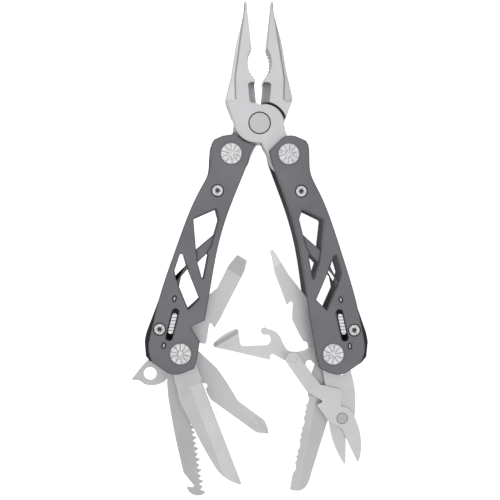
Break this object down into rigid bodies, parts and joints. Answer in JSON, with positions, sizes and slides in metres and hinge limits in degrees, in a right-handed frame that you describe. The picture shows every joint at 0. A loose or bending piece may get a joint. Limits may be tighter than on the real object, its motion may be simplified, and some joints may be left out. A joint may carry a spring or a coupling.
{
  "type": "pocket multi tool with folding pliers",
  "caption": "Butterfly multi tool standing open: needle-nose pliers, two grey truss handles and fanned-out blades, saw, drivers, scissors and openers.",
  "frame": {"origin": "bottom centre of the bounding box of the open tool lying on its back", "axes": "+X to the tool's right seen from the front, +Y from the handles' free ends to the jaw tips, +Z out of the front plates"},
  "size_m": [0.0944, 0.1982, 0.0188],
  "materials": {
    "jaw_steel": "bead blasted satin",
    "handle_plate": "dark grey matte oxide",
    "pivot_steel": "polished",
    "fastener_steel": "satin",
    "slider_metal": "knurled satin",
    "spring_black": "satin black",
    "spacer_metal": "dull",
    "tool_steel": "satin"
  },
  "bodies": {
    "front_jaw": {"front_jaw": "jaw_steel", "main_rivet": "pivot_steel"},
    "back_jaw": {"back_jaw": "jaw_steel"},
    "left_handle": {"left_front_plate": "handle_plate", "left_back_plate": "handle_plate", "left_top_pivot": "pivot_steel", "left_tool_pivot": "pivot_steel", "left_pivot_spacer": "spacer_metal", "left_spring_pack": "spring_black", "left_lower_screws": "fastener_steel", "left_upper_screws": "fastener_steel", "left_index_pins": "fastener_steel", "left_tool_washers": "spacer_metal"},
    "right_handle": {"right_front_plate": "handle_plate", "right_back_plate": "handle_plate", "right_top_pivot": "pivot_steel", "right_tool_pivot": "pivot_steel", "right_pivot_spacer": "spacer_metal", "right_spring_pack": "spring_black", "right_lower_screws": "fastener_steel", "right_upper_screws": "fastener_steel", "right_index_pins": "fastener_steel", "right_tool_washers": "spacer_metal"},
    "left_lock_slider": {"left_lock_slider": "slider_metal"},
    "right_lock_slider": {"right_lock_slider": "slider_metal"},
    "scissors_lever": {"scissors_lever_blade": "tool_steel"},
    "scissors": {"scissors_fixed_blade": "tool_steel", "scissors_rivet": "pivot_steel"},
    "plain_blade": {"plain_blade": "tool_steel"},
    "wood_saw": {"wood_saw": "tool_steel"},
    "large_flat_driver": {"large_flat_driver": "tool_steel"},
    "lanyard_tab": {"lanyard_tab": "tool_steel"},
    "cross_point_driver": {"cross_point_driver": "tool_steel"},
    "serrated_blade": {"serrated_blade": "tool_steel"},
    "can_opener": {"can_opener": "tool_steel"},
    "small_flat_driver": {"small_flat_driver": "tool_steel"}
  },
  "joints": [
    {"name": "jaws", "type": "hinge", "parent": "front_jaw", "child": "back_jaw", "pos_m": [0.00373, 0.04963, 0.0094], "axis": [0, 0, 1], "range_deg": [-24, 11]},
    {"name": "left_handle_fold", "type": "hinge", "parent": "back_jaw", "child": "left_handle", "pos_m": [-0.00767, 0.03713, 0.0094], "axis": [0, 0, -1], "range_deg": [0, 166]},
    {"name": "right_handle_fold", "type": "hinge", "parent": "front_jaw", "child": "right_handle", "pos_m": [0.01513, 0.03713, 0.0094], "axis": [0, 0, 1], "range_deg": [0, 167.5]},
    {"name": "plain_blade_fold", "type": "hinge", "parent": "left_handle", "child": "plain_blade", "pos_m": [-0.02766, -0.04188, 0.0094], "axis": [0, 0, 1], "range_deg": [-38.2, 141.2]},
    {"name": "wood_saw_fold", "type": "hinge", "parent": "left_handle", "child": "wood_saw", "pos_m": [-0.02766, -0.04188, 0.0094], "axis": [0, 0, 1], "range_deg": [-25.6, 154.4]},
    {"name": "large_flat_driver_fold", "type": "hinge", "parent": "left_handle", "child": "large_flat_driver", "pos_m": [-0.02766, -0.04188, 0.0094], "axis": [0, 0, 1], "range_deg": [-161, 19]},
    {"name": "lanyard_tab_fold", "type": "hinge", "parent": "left_handle", "child": "lanyard_tab", "pos_m": [-0.02766, -0.04188, 0.0094], "axis": [0, 0, 1], "range_deg": [0, 218.5]},
    {"name": "cross_point_driver_fold", "type": "hinge", "parent": "left_handle", "child": "cross_point_driver", "pos_m": [-0.02766, -0.04188, 0.0094], "axis": [0, 0, 1], "range_deg": [-60.5, 119.5]},
    {"name": "scissors_fold", "type": "hinge", "parent": "right_handle", "child": "scissors", "pos_m": [0.03291, -0.0424, 0.0094], "axis": [0, 0, -1], "range_deg": [-4.6, 175.4]},
    {"name": "serrated_blade_fold", "type": "hinge", "parent": "right_handle", "child": "serrated_blade", "pos_m": [0.03291, -0.0424, 0.0094], "axis": [0, 0, -1], "range_deg": [-29.1, 150.9]},
    {"name": "can_opener_fold", "type": "hinge", "parent": "right_handle", "child": "can_opener", "pos_m": [0.03291, -0.0424, 0.0094], "axis": [0, 0, -1], "range_deg": [-107, 73]},
    {"name": "small_flat_driver_fold", "type": "hinge", "parent": "right_handle", "child": "small_flat_driver", "pos_m": [0.03291, -0.0424, 0.0094], "axis": [0, 0, -1], "range_deg": [-163.1, 16.9]},
    {"name": "scissors_squeeze", "type": "hinge", "parent": "scissors", "child": "scissors_lever", "pos_m": [0.03709, -0.06858, 0.0094], "axis": [0, 0, 1], "range_deg": [-18, 0]},
    {"name": "left_lock_slide", "type": "slide", "parent": "left_handle", "child": "left_lock_slider", "axis": [0.2453, 0.9694, 0], "range_m": [-0.0022, 0.0013]},
    {"name": "right_lock_slide", "type": "slide", "parent": "right_handle", "child": "right_lock_slider", "axis": [-0.2181, 0.9759, 0], "range_m": [-0.0022, 0.0013]}
  ]
}
